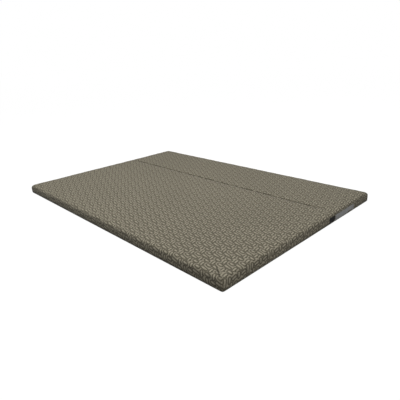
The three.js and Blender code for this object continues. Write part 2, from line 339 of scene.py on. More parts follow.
def jacquard_figure(nodes, threads):
    """The woven figure: above 0 where it is light, and below 0 where it is dark."""
    place = repeat_place(nodes, threads)
    figure = 0.0
    nearest = REPEAT_ALONG / MM
    for row in range(FIGURE_ROWS):
        across = row * ROW_SHIFT / FIGURE_ROWS
        along = row / FIGURE_ROWS
        lean = LIGHT_LEAN if row % 2 else -LIGHT_LEAN
        half_length = LONG_HALF_LENGTH if row == FIGURE_ROWS - 1 else LIGHT_HALF_LENGTH
        gap = stroke_gap(nodes, place, across, along, lean, half_length, LIGHT_HALF_WIDTH)
        nearest = nodes.math("MINIMUM", gap, nearest)
        figure = draw_stroke(nodes, figure, gap, 1.0)
        across += 0.5
        along += 0.5 / FIGURE_ROWS
        gap = stroke_gap(nodes, place, across, along, DARK_LEAN, DARK_HALF_LENGTH, DARK_HALF_WIDTH)
        figure = draw_stroke(nodes, figure, gap, DARK_WEIGHT)
    turns = nodes.math("MULTIPLY", nodes.math("MAXIMUM", nearest, 0.0), 2 * math.pi / CONTOUR_PITCH)
    return nodes.math("MULTIPLY_ADD", nodes.math("SINE", turns), -CONTOUR_WEIGHT, figure)


def fold_shade(nodes, cloth):
    """From 0 away from the fold's seam to 1 on it, stronger and weaker along it like its puckers."""
    place = nodes.split(cloth)
    near = nodes.spread(nodes.gap(place["Y"], FOLD_Y), *FOLD_SHADE)
    dashes = nodes.spread(nodes.noise(nodes.join(X=place["X"]), 11.0, 1.0), 0.38, 0.5, 0.2, 1.0)
    fading = nodes.spread(place["X"], *reversed(FOLD_FADE))
    return nodes.math("MULTIPLY", near, nodes.math("MULTIPLY", dashes, fading))


def painted_pucker_line(nodes, cloth, away):
    """From 0 to 1 on a line beside the near corner's ridge of cloth, where its crease gets painted shade, or
    on the ridge itself, where it gets a painted highlight.
    """
    start, end = Vector(PUCKER_START), Vector(PUCKER_END)
    along = (end - start).normalized()
    middle = (start + end) / 2 + Vector((along.y, -along.x)) * away
    local = nodes.vector("SUBTRACT", cloth, (*middle, 0))
    ahead = nodes.math("ABSOLUTE", nodes.vector("DOT_PRODUCT", local, (*along, 0)))
    beside = nodes.math("ABSOLUTE", nodes.vector("DOT_PRODUCT", local, (along.y, -along.x, 0)))
    half_length = (end - start).length / 2
    ends = nodes.spread(ahead, half_length + PUCKER_WIDTH, half_length - 3 * PUCKER_WIDTH)
    return nodes.math("MULTIPLY", ends, nodes.spread(beside, 0.9 * PUCKER_WIDTH, 0.3 * PUCKER_WIDTH))


def hem_shade(nodes, cloth):
    """From 0 on the walls to 1 on the lowest part of the cloth, where it turns under."""
    place = nodes.split(cloth)
    past_x = nodes.math("SUBTRACT", nodes.math("ABSOLUTE", place["X"]), HALF_X - TOP_ROLL)
    past_y = nodes.math("SUBTRACT", nodes.gap(place["Y"], MIDDLE_Y), HALF_Y - TOP_ROLL)
    return nodes.spread(nodes.math("MAXIMUM", past_x, past_y), *HEM_SHADE)


def jacquard_material():
    """The patterned cloth: its figure woven in single threads, the painted shade in its folds, hem and the
    near corner's crease, and a painted highlight on that corner's ridge.
    """
    nodes = Nodes("jacquard", Sheen_Weight=0.06, Sheen_Roughness=0.5, Specular_IOR_Level=0.3)
    cloth = nodes.node("ShaderNodeUVMap", uv_map="Cloth").outputs["UV"]
    threads = nodes.vector("SNAP", cloth, (THREAD, THREAD, THREAD))
    figure = jacquard_figure(nodes, threads)
    picks = nodes.node("ShaderNodeTexWhiteNoise", {"Vector": threads}, noise_dimensions="2D")
    loose = nodes.spread(picks.outputs["Value"], 0, 1, -LOOSE_PICK, LOOSE_PICK)
    woven = nodes.math("ADD", figure, loose)
    figure = nodes.spread(woven, -0.6, 0.6, -1, 1)
    color = nodes.mix(nodes.spread(figure, 0, 1), JACQUARD_GROUND, JACQUARD_LIGHT)
    color = nodes.mix(nodes.spread(figure, 0, -1), color, JACQUARD_DARK)
    color = nodes.mix(nodes.patches(cloth, 2.2, 0, 0.12, 2.0), color, JACQUARD_DARK)
    # Painted shade along the fold's seam, at the hem and in the near corner's crease, and a painted
    # highlight on that corner's ridge of cloth.
    for strength, where, shade in (
        (0.95, fold_shade(nodes, cloth), JACQUARD_SHADE),
        (0.7, hem_shade(nodes, cloth), JACQUARD_SHADE),
        (0.6, painted_pucker_line(nodes, cloth, 0), JACQUARD_LIGHT),
        (0.8, painted_pucker_line(nodes, cloth, PUCKER_CREASE), JACQUARD_SHADE),
    ):
        color = nodes.mix(nodes.math("MULTIPLY", where, strength), color, shade)
    relief = weave(nodes, cloth, ALONG_X, ALONG_Y, THREAD)
    normal = nodes.bump(figure, 0.3 * MM, 0.6, nodes.bump(relief, 0.25 * MM, 0.7))
    rough = nodes.spread(figure, -1, 1, 0.95, 0.8)
    return nodes.finish(color, rough, normal)


ALONG_X, ALONG_Y, ALONG_Z = (1, 0, 0), (0, 1, 0), (0, 0, 1)
LABEL_BORDER = 2.0 * MM  # from the label's edge to the middle of its border line
LABEL_BORDER_HALF = 0.25 * MM
LABEL_THREAD = 0.35 * MM


def weave(nodes, where, along, across, thread):
    """The height of a plain weave, from 0 to 1, with its threads along two directions."""
    u, v = (nodes.vector("DOT_PRODUCT", where, [c / thread for c in way]) for way in (along, across))
    floors = nodes.math("ADD", nodes.math("FLOOR", u), nodes.math("FLOOR", v))
    over = nodes.math("FLOORED_MODULO", floors, 2.0)
    turns = [nodes.math("MULTIPLY", w, math.pi) for w in (u, v)]
    crowns = [nodes.math("ABSOLUTE", nodes.math("SINE", turn)) for turn in turns]
    difference = nodes.math("SUBTRACT", crowns[0], crowns[1])
    return nodes.math("MULTIPLY_ADD", difference, over, crowns[1])


def woven_material(name, color, along, across, thread, roughness=0.85, sheen=0.1):
    """A plain woven cloth: threads, cloudy colour, slubs and a relief."""
    nodes = Nodes(name, Sheen_Weight=sheen, Sheen_Roughness=0.5)
    where = nodes.place()
    threads = weave(nodes, where, along, across, thread)
    stretched = nodes.vector("MULTIPLY", where, [1.0 if a else 12.0 for a in along])
    slubs = nodes.patches(stretched, 90.0, 0, 0.35)
    share = nodes.math("MULTIPLY_ADD", threads, 0.45, slubs)
    share = nodes.math("ADD", share, nodes.patches(where, 7.0, 0, 0.2, 2.0))
    rough = nodes.patches(where, 40.0, roughness - 0.08, roughness + 0.08)
    normal = nodes.bump(threads, thread * 0.35, 0.8)
    return nodes.finish(nodes.tint(share, color, 0.6, 1.3), rough, normal)


def label_material(name, color, border, node, sheen):
    """A satin label with a woven border line and no mark on it."""
    nodes = Nodes(name, Sheen_Weight=sheen, Sheen_Roughness=0.3, Specular_IOR_Level=0.3)
    low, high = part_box(node)
    where = nodes.place()
    place = nodes.split(where)
    gaps = []
    for axis, start, end in (("Y", low.y, high.y), ("Z", low.z, high.z)):
        from_middle = nodes.gap(place[axis], (start + end) / 2)
        gaps.append(nodes.math("SUBTRACT", from_middle, (end - start) / 2))
    inside = nodes.math("MULTIPLY", nodes.math("MAXIMUM", *gaps), -1.0)
    line = nodes.math("COMPARE", inside, LABEL_BORDER, LABEL_BORDER_HALF)
    threads = weave(nodes, where, ALONG_Y, ALONG_Z, LABEL_THREAD)
    cloudy = nodes.patches(where, 30.0, 0, 0.5)
    plain = nodes.tint(nodes.math("MULTIPLY_ADD", threads, 0.4, cloudy), color, 0.8, 1.15)
    rough = nodes.patches(where, 60.0, 0.45, 0.65)
    normal = nodes.bump(nodes.noise(where, 55.0, 2.0), 0.5 * MM, 0.5, nodes.bump(threads, 0.1 * MM, 0.6))
    return nodes.finish(nodes.mix(line, plain, border), rough, normal)


def fibre_material(name, color, scale, depth):
    """A matted white filling: loose fibres with soft lumps."""
    nodes = Nodes(name, Sheen_Weight=0.2, Sheen_Roughness=0.6)
    where = nodes.place()
    lumps = nodes.noise(where, scale, 3.0)
    fibres = nodes.noise(nodes.vector("MULTIPLY", where, (1, 6, 3)), scale * 12, 6.0, 0.7)
    share = nodes.weighed(fibres, 0.6, lumps, 0.5)
    rough = nodes.level(fibres, 0.85, 1.0)
    normal = nodes.bump(fibres, depth, 0.7, nodes.bump(lumps, 4 * depth, 0.5))
    return nodes.finish(nodes.tint(share, color, 0.8, 1.1), rough, normal)


def foam_material():
    """Yellowed foam with small open cells."""
    nodes = Nodes("foam")
    where = nodes.place()
    cells = nodes.node("ShaderNodeTexVoronoi", {"Vector": where, "Scale": 900.0}).outputs["Distance"]
    share = nodes.weighed(cells, 0.5, nodes.noise(where, 12.0), 0.5)
    normal = nodes.bump(cells, 0.4 * MM, 0.8)
    rough = nodes.spread(cells, 0, 1, 0.95, 0.8)
    return nodes.finish(nodes.tint(share, (0.81, 0.74, 0.48), 0.75, 1.1), rough, normal)


def coil_material():
    """The zips' dark plastic wire, a little rough."""
    nodes = Nodes("zip_coil", Specular_IOR_Level=0.5)
    where = nodes.place()
    grain = nodes.noise(where, 900.0, 2.0)
    rough = nodes.level(grain, 0.35, 0.55)
    normal = nodes.bump(grain, 0.05 * MM, 0.5)
    return nodes.finish(nodes.tint(nodes.noise(where, 25.0), (0.03, 0.028, 0.025), 0.6, 1.5), rough, normal)


def metal_material():
    """Painted zinc: a soft grain, small scratches, and duller patches from handling."""
    nodes = Nodes("zip_metal", Metallic=1.0)
    where = nodes.place()
    scratches = nodes.noise(nodes.vector("MULTIPLY", where, (1, 14, 2)), 500.0, 4.0)
    worn = nodes.noise(where, 180.0, 3.0)
    share = nodes.weighed(scratches, 0.5, worn, 0.5)
    rough = nodes.level(worn, 0.28, 0.5)
    normal = nodes.bump(scratches, 0.03 * MM, 0.5)
    return nodes.finish(nodes.tint(share, (0.26, 0.26, 0.25), 0.6, 1.5), rough, normal)


def thread_material(name, color):
    """Sewing thread: a twist of plies."""
    nodes = Nodes(name, Sheen_Weight=0.2, Sheen_Roughness=0.4)
    where = nodes.place()
    twist = nodes.node("ShaderNodeTexWave", {"Vector": where, "Scale": 500.0}, bands_direction="DIAGONAL")
    plies = twist.outputs["Fac"]
    share = nodes.weighed(plies, 0.6, nodes.noise(where, 60.0), 0.4)
    rough = nodes.spread(plies, 0, 1, 0.8, 0.6)
    return nodes.finish(nodes.tint(share, color, 0.6, 1.3), rough, nodes.bump(plies, 0.1 * MM, 0.6))


def all_materials():
    """Every material but the jacquard's and the floor's, by name."""
    black, black_border = (0.007, 0.007, 0.007), (0.02, 0.02, 0.02)
    white, white_border = (0.27, 0.27, 0.266), (0.23, 0.23, 0.225)
    return {
        "underside": woven_material("underside", (0.07, 0.062, 0.05), ALONG_X, ALONG_Y, 0.8 * MM),
        "lining": woven_material("lining", (0.012, 0.012, 0.011), ALONG_X, ALONG_Z, 0.6 * MM, 0.7),
        "webbing": woven_material("webbing", (0.036, 0.032, 0.026), ALONG_X, ALONG_Y, 1.2 * MM),
        "zip_tape": woven_material("zip_tape", (0.042, 0.04, 0.033), ALONG_Y, ALONG_Z, 0.5 * MM, 0.75),
        "sleeve": fibre_material("sleeve", (0.73, 0.72, 0.68), 60.0, 0.1 * MM),
        "wadding": fibre_material("wadding", (0.87, 0.86, 0.83), 25.0, 0.4 * MM),
        "foam": foam_material(),
        "zip_coil": coil_material(),
        "zip_metal": metal_material(),
        "black_label": label_material("black_label", black, black_border, "brand_label", 0.02),
        "white_label": label_material("white_label", white, white_border, "care_label", 0.1),
        "dark_thread": thread_material("dark_thread", (0.05, 0.044, 0.034)),
        "pale_thread": thread_material("pale_thread", (0.25, 0.25, 0.25)),
    }


def floor_material():
    """A white studio floor, lit so evenly that it shows almost no shade."""
    nodes = Nodes("studio_floor", Roughness=0.9, Emission_Strength=0.97, Emission_Color=(1, 1, 1, 1))
    return nodes.finish(nodes.tint(nodes.noise(nodes.place(), 1.5), (0.04, 0.04, 0.04), 0.8, 1.2))


# ---------------------------------------------------------------- the cover's grid

CORNER_STEPS = 3  # grid lines on each half of a corner's arc
GRID = 17 * MM
FOLD_LINES = [0.0, 0.6, SEAM_HALF / MM, BESIDE_SEAM / MM, 6, 10, 16, 26]  # millimetres from the fold
EDGE_LINES = [5, 10, 16, 22, 29, 36, 44, 53, 63, 76]  # millimetres from the end of a corner's arc
TUCKED_RINGS = [(4.6 * MM, 1.0 * MM), (7.2 * MM, 2.4 * MM)]  # (inset, height) past the underside's seam


def edge_lines():
    """Distances of the grid lines near an edge from the start of the roll, closer together at the edge."""
    arc = [(CORNER - TOP_ROLL) * k / CORNER_STEPS for k in range(CORNER_STEPS + 1)]
    return arc + [arc[-1] + step * MM for step in EDGE_LINES]


def fill_lines(lines):
    """The same grid lines, with even ones added wherever two are far apart."""
    filled = []
    for low, high in zip(lines, lines[1:]):
        count = max(1, round((high - low) / GRID))
        filled += [low + (high - low) * k / count for k in range(count)]
    return np.array(filled + [lines[-1]])


def grid_x():
    near = [-HALF_X + TOP_ROLL + d for d in edge_lines()]
    return fill_lines(near + [-x for x in reversed(near)])


def grid_y():
    low = [LOW_Y + TOP_ROLL + d for d in edge_lines()]
    high = [HIGH_Y - TOP_ROLL - d for d in reversed(edge_lines())]
    before = [FOLD_Y - d * MM for d in reversed(FOLD_LINES)]
    after = [FOLD_Y + d * MM for d in FOLD_LINES[1:]]
    slots = [y for slot in ZIP_SLOTS.values() for y in slot]
    return fill_lines(sorted(low + before + after + high + slots))


def wall_profile():
    """The cover's section from the start of the top roll to the seam underneath: (inset, height) pairs."""
    roll = [
        (TOP_ROLL * (1 - math.sin(a)), HEIGHT - TOP_ROLL * (1 - math.cos(a)))
        for a in np.radians(np.linspace(0, 90, 6))
    ]
    wall = [
        (-WALL_BULGE * math.sin(math.pi * (z - BOTTOM_ROLL) / (HEIGHT - TOP_ROLL - BOTTOM_ROLL)), z)
        for z in (34 * MM, SLOT_HIGH, SLOT_LOW, 11 * MM)
    ]
    under = [
        (BOTTOM_ROLL * (1 - math.cos(a)), BOTTOM_ROLL * (1 - math.sin(a)))
        for a in np.radians((0, 30, 60, 80))
    ]
    return roll + wall + under + TUCKED_RINGS


class Cover:
    """The cover's grid: a top, and rings of points that go down its walls from the top's edge.

    A column is the line of points down the wall from one point of the top's edge. The four sides are
    numbered from the -Y one, anticlockwise."""

    OUTWARD = [(0, -1), (1, 0), (0, 1), (-1, 0)]

    def __init__(self):
        self.xs = grid_x()
        self.ys = grid_y()
        self.profile = wall_profile()
        self.slot_rings = [n for n, (_, z) in enumerate(self.profile) if z in (SLOT_LOW, SLOT_HIGH)]
        self.nx, self.ny = len(self.xs), len(self.ys)
        self.columns = self.make_columns()
        self.count = len(self.columns)
        self.top = self.nx * self.ny
        self.points = self.make_points()

    def make_columns(self):
        nx, ny = self.nx, self.ny
        sides = [
            [(i, 0) for i in range(nx)],
            [(nx - 1, j) for j in range(ny)],
            [(i, ny - 1) for i in reversed(range(nx))],
            [(0, j) for j in reversed(range(ny))],
        ]
        return [
            self.column(side, n, len(ends), *ends[n])
            for side, ends in enumerate(sides)
            for n in range(len(ends) - 1)
        ]

    def column(self, side, n, count, i, j):
        """A column's grid point, its base, the direction it faces and its turn round a corner's arc.

        The base is the middle of a corner's arc, or straight in from a straight wall."""
        inner_x, inner_y = HALF_X - CORNER, HALF_Y - CORNER
        x = float(np.clip(self.xs[i], -inner_x, inner_x))
        y = float(np.clip(self.ys[j], MIDDLE_Y - inner_y, MIDDLE_Y + inner_y))
        turn = 0.0
        if n < CORNER_STEPS:
            turn = -math.pi / 4 * (1 - n / CORNER_STEPS)
        elif count - 1 - n < CORNER_STEPS:
            turn = math.pi / 4 * (1 - (count - 1 - n) / CORNER_STEPS)
        out_x, out_y = self.OUTWARD[side]
        cos, sin = math.cos(turn), math.sin(turn)
        facing = (out_x * cos - out_y * sin, out_x * sin + out_y * cos)
        return {"side": side, "i": i, "j": j, "base": (x, y), "facing": facing, "turn": turn}

    def top_index(self, i, j):
        return i * self.ny + j

    def wall_index(self, ring, column):
        column %= self.count
        if ring == 0:
            return self.top_index(self.columns[column]["i"], self.columns[column]["j"])
        return self.top + (ring - 1) * self.count + column

    def make_points(self):
        """All points: the top's first, and then each ring below it. Also sets which way each one faces."""
        grid = np.zeros((self.nx, self.ny, 3))
        grid[:, :, 0] = self.xs[:, None]
        grid[:, :, 1] = self.ys[None, :]
        grid[:, :, 2] = HEIGHT
        rows = [grid.reshape(-1, 3)]
        normals = [np.tile([0.0, 0.0, 1.0], (self.top, 1))]
        base = np.array([c["base"] for c in self.columns])
        facing = np.array([c["facing"] for c in self.columns])
        edge = [self.wall_index(0, c) for c in range(self.count)]
        sharper = 1 / np.cos([c["turn"] for c in self.columns]) - 1
        for ring, (inset, height) in enumerate(self.profile):
            square = CORNER_SQUARE * smoothstep(HEIGHT, HEIGHT - TOP_ROLL, height) if ring else 0.0
            reach = (CORNER - inset) * (1 + square * sharper)
            flat = base + facing * reach[:, None]
            points = np.column_stack([flat, np.full(self.count, height)])
            if ring == 0:
                rows[0][edge] = points
                continue
            before, after = self.profile[ring - 1], self.profile[min(ring + 1, len(self.profile) - 1)]
            slope = math.atan2(before[0] - after[0], before[1] - after[1])
            rows.append(points)
            normals.append(np.column_stack([facing * math.cos(slope), np.full(self.count, math.sin(slope))]))
        self.normals = np.concatenate(normals)
        return np.concatenate(rows)

    def cloth_place(self, side, column, down):
        """Where a wall point is on the unfolded cloth."""
        own = self.columns[column % self.count]
        x, y = own["base"]
        turn = own["turn"] if own["side"] == side else math.pi / 4
        past = CORNER * turn
        reach_x, reach_y = HALF_X - TOP_ROLL + down, HALF_Y - TOP_ROLL + down
        return [
            (x + past, MIDDLE_Y - reach_y),
            (reach_x, y + past),
            (x - past, MIDDLE_Y + reach_y),
            (-reach_x, y - past),
        ][side]

    def middle_y(self, column):
        """The Y of the middle of the strip of wall between a column and the next."""
        return sum(self.ys[self.columns[c % self.count]["j"]] for c in (column, column + 1)) / 2

    def is_open(self, column, ring):
        """True where the wall has no fabric: the slit at the fold, and the slots for the zips."""
        side = self.columns[column]["side"]
        if side in (0, 2):
            return False
        y = self.middle_y(column)
        if abs(y - FOLD_Y) < SEAM_HALF and self.profile[ring][1] < SLIT_TOP:
            return True
        in_slot_row = self.profile[ring][1] == SLOT_HIGH
        return side == 3 and in_slot_row and any(low < y < high for low, high in ZIP_SLOTS.values())

    def faces(self):
        """The faces, and the places of each face's corners on the unfolded cloth."""
        faces, cloth = [], []
        for i in range(self.nx - 1):
            for j in range(self.ny - 1):
                ends = [(i, j), (i + 1, j), (i + 1, j + 1), (i, j + 1)]
                faces.append([self.top_index(*end) for end in ends])
                cloth.append([(self.xs[a], self.ys[b]) for a, b in ends])
        steps = [math.dist(a, b) for a, b in zip(self.profile, self.profile[1:])]
        down = np.concatenate([[0], np.cumsum(steps)])
        for column in range(self.count):
            side = self.columns[column]["side"]
            for ring in range(len(self.profile) - 1):
                if self.is_open(column, ring):
                    continue
                ends = [(ring, column), (ring + 1, column), (ring + 1, column + 1), (ring, column + 1)]
                faces.append([self.wall_index(*end) for end in ends])
                cloth.append([self.cloth_place(side, c, down[r]) for r, c in ends])
        return faces, cloth


# ---------------------------------------------------------------- the cover's shape

PUFF_START = 1.5 * MM  # how much smaller the cloth starts than the space it fills
PUFF_LIMIT = 1.3 * MM
PUFF_SHARE = 0.5  # how much of the simulated movement is kept, below the limit
SPARE_CLOTH = 0.004  # how much wider the cloth is than its space, as a share
FILL_STEPS = 12
LOOSELY_HELD = 0.02  # how firmly the cloth between its seams is held while it fills
HIGHEST = HEIGHT + 0.6 * MM  # below the line that the rear section turns about
RIDGE_TOP = HEIGHT + 3 * MM  # near the corner that has a ridge, far from the fold
VALLEY_DEPTH = 5.0 * MM
VALLEY_FLOOR = HEIGHT - 5.8 * MM  # the webbing is below this
VALLEY_HALF_WIDTH = 4.6 * MM
SLOPE_DEPTH = 0.6 * MM  # of the wide slope on both sides of the valley
SLOPE_HALF_WIDTH = 20 * MM
FOLD_REACH = 3 * VALLEY_HALF_WIDTH  # how far from the fold the valley is still felt
CORNER_SEAM = 1.2 * MM
CORNER_TUCK = 4.5 * MM  # how far the near corner's seam is drawn in where it ends
TUCK_HEIGHT = 44 * MM
TUCK_REACH = 10 * MM
SLIT_TURN = {SEAM_HALF: 2.6 * MM, BESIDE_SEAM: 0.5 * MM}  # how far each grid line beside the slit turns in
SLOT_TURN = 1.0 * MM
WIDE_WAVE = 0.5 * MM  # the height of the top's long waves
EDGE_WAVE = 0.55 * MM  # the height of the short waves along the edges
FILLING_TOP = HEIGHT - 2.9 * MM  # the cover's top stays above this, except at the fold
FILLING_GAP = 0.8 * MM  # from the cover to the filling's bag


def waves(x, y, wavelength, seed, count=9):
    """A smooth random height from about -1 to 1, made of plane waves of about one wavelength."""
    random = np.random.default_rng(seed)
    height = np.zeros_like(np.asarray(x, float))
    for _ in range(count):
        heading, phase = random.uniform(0, 2 * math.pi, 2)
        number = 2 * math.pi / (wavelength * random.uniform(0.7, 1.5))
        height += np.sin(number * (x * math.cos(heading) + y * math.sin(heading)) + phase)
    return height / math.sqrt(count * 2)


def held_points(cover):
    """How firmly each point of the cover is held while it fills: 1 is sewn down."""
    held = np.full(len(cover.points), LOOSELY_HELD)
    height = cover.points[:, 2]
    on_fold = np.abs(cover.points[:, 1] - FOLD_Y) < SEAM_HALF + HAIR
    held[on_fold] = 1.0
    held[(height < BOTTOM_ROLL - 0.5 * MM) & (height < HEIGHT / 2)] = 1.0
    on_slot_row = np.isclose(height, SLOT_HIGH) | np.isclose(height, SLOT_LOW)
    for low, high in ZIP_SLOTS.values():
        beside = (cover.points[:, 1] > low - MM) & (cover.points[:, 1] < high + MM)
        held[on_slot_row & beside & (cover.points[:, 0] < -HALF_X + CORNER)] = 1.0
    return held


def fill_cover(made, cover):
    """Blows the cloth out against its seams, as the filling does, and keeps what that makes of it."""
    held = held_points(cover)
    start = cover.points - cover.normals * (PUFF_START * (1 - held))[:, None]
    start[:, 2] = np.maximum(start[:, 2], HAIR)
    set_points(made, start)
    group = made.vertex_groups.new(name="held")
    for index, weight in enumerate(held):
        group.add([index], float(weight), "REPLACE")
    modifier = made.modifiers.new("Cloth", "CLOTH")
    modifier.point_cache.frame_start, modifier.point_cache.frame_end = 1, FILL_STEPS
    cloth = modifier.settings
    cloth.quality = 4
    cloth.mass = 0.02
    cloth.tension_stiffness = cloth.compression_stiffness = 15
    cloth.shear_stiffness = 5
    cloth.bending_stiffness = 0.3
    cloth.vertex_group_mass = "held"
    cloth.pin_stiffness = 1.0
    cloth.shrink_min = -SPARE_CLOTH
    cloth.use_pressure = True
    cloth.uniform_pressure_force = 0.08
    cloth.effector_weights.gravity = 0
    modifier.collision_settings.use_collision = False
    modifier.collision_settings.use_self_collision = False
    scene = bpy.context.scene
    for step in range(1, FILL_STEPS + 1):
        scene.frame_set(step)
    filled = points_of(made.evaluated_get(bpy.context.evaluated_depsgraph_get()))
    scene.frame_set(1)
    made.modifiers.remove(modifier)
    made.vertex_groups.clear()
    moved = filled - start
    far = np.linalg.norm(moved, axis=1, keepdims=True)
    kept = PUFF_LIMIT * np.tanh(PUFF_SHARE * far / PUFF_LIMIT)
    return start + moved * kept / np.maximum(far, 1e-9)


def fold_in(cover, points):
    """Turns the cloth's edges in at the slit and round the zips, and draws the corners' seams in."""
    points = points.copy()
    for column, place in enumerate(cover.columns):
        inward = -np.array([*place["facing"], 0.0])
        y = cover.ys[place["j"]]
        for ring in range(1, len(cover.profile)):
            height = cover.profile[ring][1]
            draw = 0.0
            if place["side"] in (1, 3) and height < SLIT_TOP:
                draw = sum(d for away, d in SLIT_TURN.items() if abs(abs(y - FOLD_Y) - away) < HAIR)
            if place["side"] == 3 and ring in cover.slot_rings:
                if any(low - MM < y < high + MM for low, high in ZIP_SLOTS.values()):
                    draw = SLOT_TURN
            if abs(place["turn"]) == math.pi / 4:
                draw = CORNER_SEAM * smoothstep(HEIGHT, HEIGHT - TOP_ROLL, height)
                if place["side"] == 1 and y < 0:
                    draw += CORNER_TUCK * math.exp(-(((height - TUCK_HEIGHT) / TUCK_REACH) ** 2))
            points[cover.wall_index(ring, column)] += inward * draw
    return points


def sculpt(points, rest, facing):
    """Adds what the sewing does to the filled cover: the fold's valley, puckers and soft waves."""
    x, y, z = rest.T
    from_fold = y - FOLD_Y
    edge = np.minimum(HALF_X - np.abs(x), np.minimum(y - LOW_Y, HIGH_Y - y))
    near_edge = 1 - smoothstep(0.02, 0.09, edge)
    sewn_below = smoothstep(0.004, 0.012, z)
    rise = WIDE_WAVE * waves(x, y, wavelength=0.26, seed=11) * (1 - near_edge)
    rise += EDGE_WAVE * waves(x + z, y - z, wavelength=0.062, seed=12) * near_edge * sewn_below
    above_slit = smoothstep(SLIT_TOP - 6 * MM, SLIT_TOP, z)
    pull = 0.8 + 0.35 * waves(x, 0 * x, wavelength=0.13, seed=13)
    pull *= 1 - 0.8 * smoothstep(*FOLD_FADE, x)
    rise -= VALLEY_DEPTH * pull * np.exp(-((from_fold / VALLEY_HALF_WIDTH) ** 2)) * above_slit
    rise -= SLOPE_DEPTH * np.exp(-((from_fold / SLOPE_HALF_WIDTH) ** 2)) * above_slit
    rise += corner_pucker(x, y) * smoothstep(HEIGHT - TOP_ROLL, HEIGHT - 2 * MM, z)
    shaped = points + facing * rise[:, None]
    floor = np.where(np.abs(from_fold) < FOLD_REACH, VALLEY_FLOOR, FILLING_TOP)
    lowest = np.where(z > HEIGHT - MM, floor, HAIR)
    highest = np.where(y < PUCKER_START[1] + 0.1, RIDGE_TOP, HIGHEST)
    shaped[:, 2] = np.clip(shaped[:, 2], lowest, highest)
    return shaped


def clear_of_filling(points):
    """Moves any point of the cover that is inside the filling, or too near it, out to a small gap."""
    points = points.copy()
    for section in SECTIONS:
        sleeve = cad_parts[f"{section}_inner_sleeve"]
        low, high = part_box(sleeve.name)
        tree = surface_tree(sleeve)
        near = np.all((points > np.array(low) - 6 * MM) & (points < np.array(high) + 6 * MM), axis=1)
        for index in np.flatnonzero(near):
            point = Vector(points[index])
            found, normal, _, _ = tree.find_nearest(sleeve.matrix_world.inverted() @ point)
            found = sleeve.matrix_world @ found
            gap = (point - found).dot(normal)
            if gap < FILLING_GAP:
                points[index] = point + normal * (FILLING_GAP - gap)
    return points


def corner_pucker(x, y):
    """The ridge of loose cloth that runs into the near corner, and the crease beside it."""
    start, end = np.array(PUCKER_START), np.array(PUCKER_END)
    along = end - start
    length = np.linalg.norm(along)
    along /= length
    far = ((x - start[0]) * along[0] + (y - start[1]) * along[1]) / length
    beside = -(x - start[0]) * along[1] + (y - start[1]) * along[0]
    grown = smoothstep(-0.05, 0.5, far) * (1 - smoothstep(1.0, 1.25, far))
    ridge = PUCKER_RISE * np.exp(-((beside / PUCKER_WIDTH) ** 2))
    crease = PUCKER_DIP * np.exp(-(((beside + PUCKER_CREASE) / PUCKER_WIDTH) ** 2))
    return (ridge - crease) * grown


def vector_layer(made, name, values=None):
    """Writes a vector to each point of a mesh, or reads it back."""
    if values is not None:
        layer = made.data.attributes.new(name, "FLOAT_VECTOR", "POINT")
        layer.data.foreach_set("vector", np.asarray(values, np.float32).ravel())
        return None
    layer = made.data.attributes[name]
    flat = np.empty(len(made.data.vertices) * 3, np.float32)
    layer.data.foreach_get("vector", flat)
    made.data.attributes.remove(layer)
    return flat.reshape(-1, 3).astype(float)


def make_cover():
    """The patterned cover over both sections, in one piece across the strip at the fold."""
    cover = Cover()
    faces, cloth = cover.faces()
    made = mesh_object("mattress_cover", cover.points, faces, jacquard_material())
    layer = made.data.uv_layers.new(name="Cloth")
    layer.data.foreach_set("uv", np.array(cloth, np.float32).ravel())
    filled = fill_cover(made, cover)
    set_points(made, fold_in(cover, filled))
    vector_layer(made, "rest", cover.points)
    vector_layer(made, "facing", cover.normals)
    subdivide(made)
    rest = vector_layer(made, "rest")
    facing = vector_layer(made, "facing")
    shaped = sculpt(points_of(made), rest, facing)
    at_fold = np.abs(rest[:, 1] - FOLD_Y) < FOLD_REACH
    set_points(made, np.where(at_fold[:, None], shaped, clear_of_filling(shaped)))
    made.data.shade_smooth()
    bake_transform(made)
    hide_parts("front_cover_top", "rear_cover_top")
    return made


# ---------------------------------------------------------------- sewn sheets

UNDERSIDE_CORNER = 9 * MM
UNDERSIDE_INSET = 4.8 * MM  # from the cover's edges
UNDERSIDE_THICK = 1.3 * MM
UNDERSIDE_PUCKER = 0.9 * MM  # how far the puckers along the seams lift the cloth
UNDERSIDE_PUCKER_REACH = 12 * MM
UNDERSIDE_WAVE = 0.25 * MM
FOLD_CLEARANCE = 0.4 * MM  # from a section's underside to its CAD edge at the fold
LINING_INSET = 3.3 * MM  # from the cover's ends
LINING_DIP = 1.5 * MM
LINING_THICK = 0.8 * MM
WEBBING_DIP = 3.4 * MM
WEBBING_THICK = 0.6 * MM


def spaced(low, high, step, margin=()):
    """Even values from low to high, with closer ones at the given distances from both ends."""
    near = [low + d * MM for d in (0, *margin)]
    far = [high - d * MM for d in reversed((0, *margin))]
    count = max(1, round((far[0] - near[-1]) / step))
    middle = [near[-1] + (far[0] - near[-1]) * k / count for k in range(1, count)]
    return np.array(near + middle + far)


def slab(name, us, vs, place, thickness, material):
    """A closed sheet over a grid. place(u, v) gives its outer face and the way in from there."""
    u, v = (g.ravel() for g in np.meshgrid(us, vs, indexing="ij"))
    outer, inward = place(u, v)
    nu, nv = len(us), len(vs)
    count = nu * nv
    points = np.concatenate([outer, outer + inward * thickness])
    faces = []
    for i in range(nu - 1):
        for j in range(nv - 1):
            a = i * nv + j
            ring = [a, a + nv, a + nv + 1, a + 1]
            faces.append(ring)
            faces.append([count + k for k in reversed(ring)])
    rim = [i * nv for i in range(nu)] + [(nu - 1) * nv + j for j in range(1, nv)]
    rim += [i * nv + nv - 1 for i in reversed(range(nu - 1))] + list(reversed(range(1, nv - 1)))
    for a, b in zip(rim, rim[1:] + rim[:1]):
        faces.append([b, a, count + a, count + b])
    made = mesh_object(name, points, faces, material)
    face_outwards(made)
    subdivide(made)
    made.data.shade_smooth()
    return made


